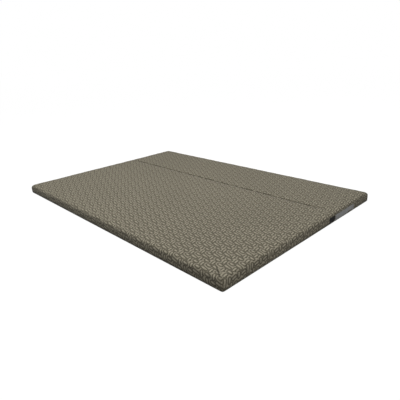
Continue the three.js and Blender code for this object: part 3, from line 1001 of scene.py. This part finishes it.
def face_outwards(made):
    """Turns all faces of a closed mesh outwards."""
    shape = bmesh.new()
    shape.from_mesh(made.data)
    bmesh.ops.recalc_face_normals(shape, faces=shape.faces)
    shape.to_mesh(made.data)
    shape.free()


def round_corner(x, y, corner_x, corner_y, radius):
    """Pulls a square grid's corner onto an arc. The corner is where the two edges would meet."""
    way_x, way_y = np.sign(corner_x), np.sign(corner_y - MIDDLE_Y)
    across = (x - (corner_x - way_x * radius)) * way_x
    along = (y - (corner_y - way_y * radius)) * way_y
    inside = (across > 0) & (along > 0)
    reach = np.maximum(across, along)
    length = np.maximum(np.hypot(across, along), 1e-9)
    new_x = corner_x - way_x * (radius - across * reach / length)
    new_y = corner_y - way_y * (radius - along * reach / length)
    return np.where(inside, new_x, x), np.where(inside, new_y, y)


def make_underside(section, material):
    """The plain fabric underneath, drawn up a little along its seams."""
    low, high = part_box(f"{section}_cover_bottom")
    x0, x1 = low.x + UNDERSIDE_INSET, high.x - UNDERSIDE_INSET
    if section == "front":
        y0, y1 = low.y + UNDERSIDE_INSET, high.y - FOLD_CLEARANCE
    else:
        y0, y1 = low.y + FOLD_CLEARANCE, high.y - UNDERSIDE_INSET
    outer_y = y0 if section == "front" else y1

    def place(x, y):
        edge = np.minimum(np.minimum(x - x0, x1 - x), np.minimum(y - y0, y1 - y))
        for corner_x in (x0, x1):
            x, y = round_corner(x, y, corner_x, outer_y, UNDERSIDE_CORNER)
        pucker = 0.55 + 0.45 * waves(x, y, wavelength=0.028, seed=21)
        lift = UNDERSIDE_PUCKER * pucker * np.exp(-((edge / UNDERSIDE_PUCKER_REACH) ** 2))
        lift += UNDERSIDE_WAVE * (1 + waves(x, y, wavelength=0.16, seed=22)) * smoothstep(0.02, 0.08, edge)
        outer = np.column_stack([x, y, np.maximum(lift, 0)])
        return outer, np.tile([0.0, 0.0, 1.0], (len(x), 1))

    near = (1.5, 5, 10, 16, 22)
    grid = spaced(x0, x1, 0.022, near), spaced(y0, y1, 0.022, near)
    made = slab(f"{section}_underside", *grid, place, UNDERSIDE_THICK, material)
    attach(made, SECTIONS[section])
    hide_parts(f"{section}_cover_bottom")
    return made


def make_fold_wall(section, material):
    """The black lining that closes a section at the fold, puckered between its seams."""
    low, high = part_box(f"{section}_fold_wall")
    side = -1 if section == "front" else 1
    face = high.y if section == "front" else low.y
    x0, x1 = -HALF_X + LINING_INSET, HALF_X - LINING_INSET
    z0, z1 = low.z, FOLD_WALL_TOP

    def place(x, z):
        free = smoothstep(0, 0.008, z - z0) * smoothstep(0, 0.008, z1 - z)
        free *= smoothstep(0, 0.02, x1 - np.abs(x))
        dip = LINING_DIP * (0.5 + 0.5 * waves(x, 0.35 * z, wavelength=0.05, seed=31 + side)) * free
        outer = np.column_stack([x, face + side * dip, z])
        return outer, np.tile([0.0, side, 0.0], (len(x), 1))

    grid = spaced(x0, x1, 0.013, (1.5, 5, 10)), spaced(z0, z1, 0.007, (1, 3))
    made = slab(f"{section}_lining", *grid, place, LINING_THICK, material)
    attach(made, SECTIONS[section])
    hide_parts(f"{section}_fold_wall")
    return made


def make_fold_tape(material):
    """The webbing under the fold, which dips with the cover's valley."""
    low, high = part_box("fold_tape")
    half = (high.y - low.y) / 2

    def place(x, y):
        dip = WEBBING_DIP * np.exp(-(((y - FOLD_Y) / VALLEY_HALF_WIDTH) ** 2))
        outer = np.column_stack([x, y, high.z - 0.9 * MM - dip])
        return outer, np.tile([0.0, 0.0, -1.0], (len(x), 1))

    beside = MM * np.array(FOLD_LINES[1:6])
    across = FOLD_Y + np.array([-half, *-beside[::-1], 0, *beside, half])
    made = slab("fold_webbing", spaced(low.x, high.x, 0.02), across, place, WEBBING_THICK, material)
    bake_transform(made)
    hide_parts("fold_tape")
    return made


# ---------------------------------------------------------------- labels

LABEL_THICK = 0.4 * MM
LABEL_GAP = 0.5 * MM  # from the wall to the label where it is sewn
BRAND_BULGE = 0.5 * MM
FIRST_LOBE = 0.42  # the share of the care label's length that its first lobe takes
FIRST_LOBE_GAP = 1.8 * MM
SECOND_LOBE_GAP = 5 * MM
SECOND_LOBE_LIFT = 13 * MM
CARE_RIPPLE = 0.7 * MM


class WallSurface:
    """The cover's outer surface on one side wall, found from the finished cover."""

    def __init__(self, cover, way):
        self.tree = surface_tree(cover)
        self.way = way

    def at(self, y, z):
        """The wall's X at each (y, z), read clear of the slit at the fold."""
        clear = 5 * MM
        found = []
        for one_y, one_z in zip(y, z):
            if abs(one_y - FOLD_Y) < clear:
                one_y = FOLD_Y + math.copysign(clear, one_y - FOLD_Y)
            hit = self.tree.ray_cast(Vector((2 * self.way, one_y, one_z)), Vector((-self.way, 0, 0)))[0]
            found.append(hit.x if hit is not None else self.way * HALF_X)
        return np.array(found)


def make_label(name, node, section, material, wall, hang):
    """A label sewn to the +X wall. hang(share along, share up) is its gap from the wall, and its lift."""
    low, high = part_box(node)

    def place(y, z):
        along, up = (y - low.y) / (high.y - low.y), (z - low.z) / (high.z - low.z)
        gap, lift = hang(along, up)
        outer = np.column_stack([wall.at(y, z + lift) + LABEL_GAP + gap, y, z + lift])
        return outer, np.tile([-1.0, 0.0, 0.0], (len(y), 1))

    grid = spaced(low.y, high.y, 5 * MM, (1.5,)), spaced(low.z, high.z, 4 * MM, (1,))
    made = slab(name, *grid, place, LABEL_THICK, material)
    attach(made, SECTIONS[section])
    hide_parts(node)
    return made


def brand_label_hang(along, up):
    """A stiff label that bulges a little between its seams."""
    return BRAND_BULGE * np.sin(math.pi * along) * (1 + 0.4 * np.sin(3 * math.pi * up)), 0 * up


def care_label_hang(along, up):
    """Two soft lobes. The second one's lower edge curls up and out."""
    first = np.sin(math.pi * np.clip(along / FIRST_LOBE, 0, 1)) ** 2
    second = np.sin(math.pi * np.clip((along - FIRST_LOBE) / (1 - FIRST_LOBE), 0, 1)) ** 2
    ripple = CARE_RIPPLE * np.sin(math.pi * along) * (1 - np.cos(9 * math.pi * along))
    gap = FIRST_LOBE_GAP * first * (1 - up / 2) + (SECOND_LOBE_GAP * second + ripple) * (1 - up)
    return gap, SECOND_LOBE_LIFT * second * (1 - up) ** 1.5


# ---------------------------------------------------------------- stitches

STITCH_PITCH = 4 * MM
STITCH_LENGTH = 3 * MM
STITCH_RINGS = [(-0.5, 0.35, -0.35), (-0.3, 1.0, 0.0), (0.3, 1.0, 0.0), (0.5, 0.35, -0.35)]
STITCH_SIDES = 6
THREAD_RADIUS = 0.42 * MM
ZIP_SEAM_AWAY = 2.2 * MM  # from the slot's edge
LABEL_SEAM_IN = 2.5 * MM  # from the label's edge


def steps_between(low, high, pitch):
    """The middles of as many whole steps as fit between two places."""
    count = max(1, int((high - low) / pitch))
    return (low + high) / 2 + (np.arange(count) - (count - 1) / 2) * pitch


def dropped_on(piece, starts, ahead):
    """Where rays from the starts meet a piece's surface. A ray that misses is left out."""
    tree = surface_tree(piece)
    hits = [tree.ray_cast(Vector(start), Vector(ahead))[0] for start in starts]
    return np.array([hit[:] for hit in hits if hit is not None])


def stitches(name, centres, ahead, outward, material):
    """A row of stitches that lie along `ahead`, each half sunk in the cloth at its centre."""
    ahead, outward = np.array(ahead, float), np.array(outward, float)
    beside = np.cross(outward, ahead)
    shape = []
    for along, swell, sunk in STITCH_RINGS:
        for turn in np.arange(STITCH_SIDES) * 2 * math.pi / STITCH_SIDES:
            around = beside * math.cos(turn) + outward * math.sin(turn)
            shape.append(ahead * along * STITCH_LENGTH + (around * swell + outward * sunk) * THREAD_RADIUS)
    shapes = centres[:, None, :] + np.array(shape)[None, :, :]
    return repeated(name, shapes, tube_faces(len(STITCH_RINGS), STITCH_SIDES), material)


def tube_faces(rings, sides):
    """The faces of a closed tube of that many rings."""
    faces = []
    for ring in range(rings - 1):
        for k in range(sides):
            here, beside = ring * sides + k, ring * sides + (k + 1) % sides
            faces.append([here, beside, beside + sides, here + sides])
    last = (rings - 1) * sides
    return faces + [list(reversed(range(sides))), list(range(last, last + sides))]


def repeated(name, shapes, faces, material):
    """One mesh of many copies: shapes is (copies, points, 3), and the faces are the same in each."""
    copies, per, _ = shapes.shape
    every = [[k * per + index for index in face] for k in range(copies) for face in faces]
    made = mesh_object(name, shapes.reshape(-1, 3), every, material)
    face_outwards(made)
    return made


def make_fold_seam(cover, material):
    """The line of stitches along the fold, dropped onto the cover."""
    starts = [(x, FOLD_Y, 1) for x in steps_between(-HALF_X + TOP_ROLL, HALF_X - TOP_ROLL, STITCH_PITCH)]
    centres = dropped_on(cover, starts, (0, 0, -1))
    made = stitches("fold_stitches", centres, (1, 0, 0), (0, 0, 1), material)
    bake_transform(made)


def make_zip_seams(section, cover, material):
    """The two rows of stitches that hold a zip's tapes, above and below its slot."""
    low, high = ZIP_SLOTS[section]
    starts = [
        (-2 * HALF_X, y, height)
        for height in (SLOT_LOW - ZIP_SEAM_AWAY, SLOT_HIGH + ZIP_SEAM_AWAY)
        for y in steps_between(low, high, STITCH_PITCH)
    ]
    centres = dropped_on(cover, starts, (1, 0, 0))
    made = stitches(f"{section}_zip_stitches", centres, (0, 1, 0), (-1, 0, 0), material)
    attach(made, SECTIONS[section])


def make_label_seams(label, section, material):
    """The stitches down both ends of a label."""
    points = points_of(label)
    low, high = points.min(0), points.max(0)
    starts = [
        (2 * HALF_X, y, z)
        for y in (low[1] + LABEL_SEAM_IN, high[1] - LABEL_SEAM_IN)
        for z in steps_between(low[2] + LABEL_SEAM_IN, high[2] - LABEL_SEAM_IN, STITCH_PITCH)
    ]
    centres = dropped_on(label, starts, (-1, 0, 0))
    made = stitches(f"{label.name}_stitches", centres, (0, 0, 1), (1, 0, 0), material)
    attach(made, SECTIONS[section])


# ---------------------------------------------------------------- zips

TOOTH_PITCH = 1.5 * MM
# A tooth's outline across the chain, in millimetres: how far from the middle of the chain, half its
# width, and how far it stops short of the coil's front and back.
TOOTH_RINGS = [(3.3, 0.2, 0.4), (2.6, 0.29, 0.12), (0.9, 0.29, 0.12), (0.12, 0.39, 0.08), (-0.42, 0.2, 0.5)]
TOOTH_ROUND = [(-1, 0), (-0.55, -1), (0.55, -1), (1, 0), (0.55, 1), (-0.55, 1)]
COIL_GAP = 0.15 * MM  # between the CAD coil and the middle of the chain
METAL_EDGE = 0.2 * MM


def make_coil(section, hand, material):
    """One side of a zip's chain: a tooth for each turn of the coil."""
    node = f"{section}_zip_coil_{hand}"
    low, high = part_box(node)
    up = 1 if hand == "upper" else -1
    middle = (low.z if up > 0 else high.z) - up * COIL_GAP
    face, depth = (low.x + high.x) / 2, (high.x - low.x) / 2
    shift = TOOTH_PITCH / 2 * (hand == "lower")
    places = steps_between(low.y, high.y - TOOTH_PITCH, TOOTH_PITCH) + shift
    tooth = [
        (face + w * (depth - short * MM), u * half * MM, middle + up * across * MM)
        for across, half, short in TOOTH_RINGS
        for u, w in TOOTH_ROUND
    ]
    shapes = np.array(tooth)[None, :, :] + np.column_stack([0 * places, places, 0 * places])[:, None, :]
    faces = tube_faces(len(TOOTH_RINGS), len(TOOTH_ROUND))
    made = repeated(f"{section}_chain_{hand}", shapes, faces, material)
    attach(made, SECTIONS[section])
    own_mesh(made)
    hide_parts(node)


def make_metal(node, name, body, material):
    """A zip's metal piece with its edges rounded."""
    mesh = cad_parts[node].data.copy()
    mesh.materials.clear()
    mesh.materials.append(material)
    shape = bmesh.new()
    shape.from_mesh(mesh)
    bmesh.ops.remove_doubles(shape, verts=shape.verts, dist=0.01 * MM)
    bmesh.ops.dissolve_limit(shape, angle_limit=math.radians(1), verts=shape.verts, edges=shape.edges)
    shape.to_mesh(mesh)
    shape.free()
    made = add_object(name, mesh)
    bevel = made.modifiers.new("Bevel", "BEVEL")
    bevel.width = METAL_EDGE
    bevel.segments = 2
    bevel.angle_limit = math.radians(40)
    apply_modifiers(made)
    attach(made, body)
    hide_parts(node)


def make_zip(section, materials):
    """A zip's two chains, its metal pieces, and the looks of its tapes."""
    body = SECTIONS[section]
    metal = materials["zip_metal"]
    for hand in ("upper", "lower"):
        make_coil(section, hand, materials["zip_coil"])
        make_metal(f"{section}_zip_top_stop_{hand}", f"{section}_top_stop_{hand}", body, metal)
        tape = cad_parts[f"{section}_zip_tape_{hand}"]
        dress(tape, materials["zip_tape"])
    make_metal(f"{section}_zip_bottom_stop", f"{section}_bottom_stop", body, metal)
    make_metal(f"{section}_zip_slider", f"{section}_slider", f"{section}_slider", metal)
    make_metal(f"{section}_zip_pull", f"{section}_pull_tab", f"{section}_pull", metal)


# ---------------------------------------------------------------- filling


def dress(piece, material):
    """Gives a CAD node's object a material in place of its own."""
    if not piece.material_slots:
        piece.data.materials.append(material)
    for holder in piece.material_slots:
        holder.material = material


FILLING = {  # each piece of the filling: its material, and how tight it is
    "inner_sleeve": ("sleeve", 0.9),
    "wadding_upper": ("wadding", 0.8),
    "foam_core": ("foam", 1.0),
    "wadding_lower": ("wadding", 0.8),
}


def dress_filling(section, materials):
    """Gives a section's filling its looks. Its shape stays as it is in the CAD."""
    for piece, (material, fill) in FILLING.items():
        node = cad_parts[f"{section}_{piece}"]
        dress(node, materials[material])


# ---------------------------------------------------------------- studio


FLOOR_REACH = 40.0
FLOOR_RINGS = 24
FLOOR_SIDES = 48
WORLD_LIGHT = 0.25


def make_floor():
    """A round white floor that doesn't light or mirror in the mattress."""
    points, faces = [(0, 0, 0)], []
    for ring in range(1, FLOOR_RINGS + 1):
        radius = FLOOR_REACH * (ring / FLOOR_RINGS) ** 3
        turns = np.linspace(0, 2 * math.pi, FLOOR_SIDES, endpoint=False)
        points += [(radius * math.cos(a), radius * math.sin(a), 0) for a in turns]
    for k in range(FLOOR_SIDES):
        here, beside = 1 + k, 1 + (k + 1) % FLOOR_SIDES
        faces.append((0, here, beside))
        for start in range(0, (FLOOR_RINGS - 1) * FLOOR_SIDES, FLOOR_SIDES):
            outer = start + FLOOR_SIDES
            faces.append((start + here, outer + here, outer + beside, start + beside))
    floor = mesh_object("floor", points, faces, floor_material())
    floor.location.z = -0.5 * MM
    floor.visible_diffuse = False
    floor.visible_glossy = False


def make_light():
    """A world that is white to the camera and dim as a light, a softbox above, and a fill at the +X end."""
    world = bpy.data.worlds.new("studio")
    bpy.context.scene.world = world
    world.use_nodes = True
    nodes = world.node_tree.nodes
    links = world.node_tree.links
    back = nodes["Background"]
    back.inputs["Color"].default_value = (1, 1, 1, 1)
    back.inputs["Strength"].default_value = WORLD_LIGHT
    shown = nodes.new("ShaderNodeBackground")
    shown.inputs["Color"].default_value = (1, 1, 1, 1)
    path = nodes.new("ShaderNodeLightPath")
    mix = nodes.new("ShaderNodeMixShader")
    links.new(path.outputs["Is Camera Ray"], mix.inputs[0])
    links.new(back.outputs[0], mix.inputs[1])
    links.new(shown.outputs[0], mix.inputs[2])
    links.new(mix.outputs[0], nodes["World Output"].inputs["Surface"])
    make_softbox("softbox", size=(3.0, 4.2), power=136, place=(-0.25, -0.5, 3.4))
    make_softbox("side_fill", size=(1.6, 1.0), power=22, place=(3.5, -0.7, 0.9))


def make_softbox(name, size, power, place):
    """A soft light that faces the middle of the mattress."""
    lamp = bpy.data.lights.new(name, "AREA")
    lamp.shape = "RECTANGLE"
    lamp.size, lamp.size_y = size
    lamp.energy = power
    softbox = add_object(name, lamp)
    softbox.location = place
    softbox.rotation_euler = (-softbox.location).to_track_quat("-Z", "Y").to_euler()


# The camera: how far it is, which way it looks, and how its picture is turned and framed.
CAMERA_TURN = math.radians(47.46)
CAMERA_DOWN = math.radians(20.58)
CAMERA_ROLL = math.radians(-2.90)
CAMERA_DISTANCE = 2.718
CAMERA_OFFSET = (0.0557, -0.0287)
CAMERA_LENS = 34.24
CAMERA_SHIFT = 0.01875


def make_camera():
    """Looks at the near corner of the front section from a little above."""
    data = bpy.data.cameras.new("camera")
    data.lens = CAMERA_LENS
    data.sensor_width = 36
    data.shift_x = CAMERA_SHIFT
    camera = add_object("camera", data)
    ahead = Vector((0, math.cos(CAMERA_DOWN), -math.sin(CAMERA_DOWN)))
    level = Vector((1, 0, 0))
    above = level.cross(ahead)
    right = math.cos(CAMERA_ROLL) * level + math.sin(CAMERA_ROLL) * above
    up = math.cos(CAMERA_ROLL) * above - math.sin(CAMERA_ROLL) * level
    place = -CAMERA_DISTANCE * ahead + CAMERA_OFFSET[0] * right + CAMERA_OFFSET[1] * up
    pose = Matrix((right, up, -ahead)).transposed().to_4x4()
    pose.translation = place
    camera.matrix_world = Matrix.Rotation(CAMERA_TURN, 4, "Z") @ pose
    bpy.context.scene.camera = camera
    bpy.context.scene.view_settings.view_transform = "Standard"


materials = all_materials()
cover = make_cover()
wall = WallSurface(cover, 1)
for section in SECTIONS:
    make_underside(section, materials["underside"])
    make_fold_wall(section, materials["lining"])
    make_zip_seams(section, cover, materials["dark_thread"])
    make_zip(section, materials)
    dress_filling(section, materials)
make_fold_tape(materials["webbing"])
make_fold_seam(cover, materials["dark_thread"])
black = materials["black_label"]
brand_label = make_label("brand_tag", "brand_label", "front", black, wall, brand_label_hang)
make_label_seams(brand_label, "front", materials["dark_thread"])
white = materials["white_label"]
care_label = make_label("care_tag", "care_label", "rear", white, wall, care_label_hang)
make_label_seams(care_label, "rear", materials["pale_thread"])
make_floor()
make_light()
make_camera()
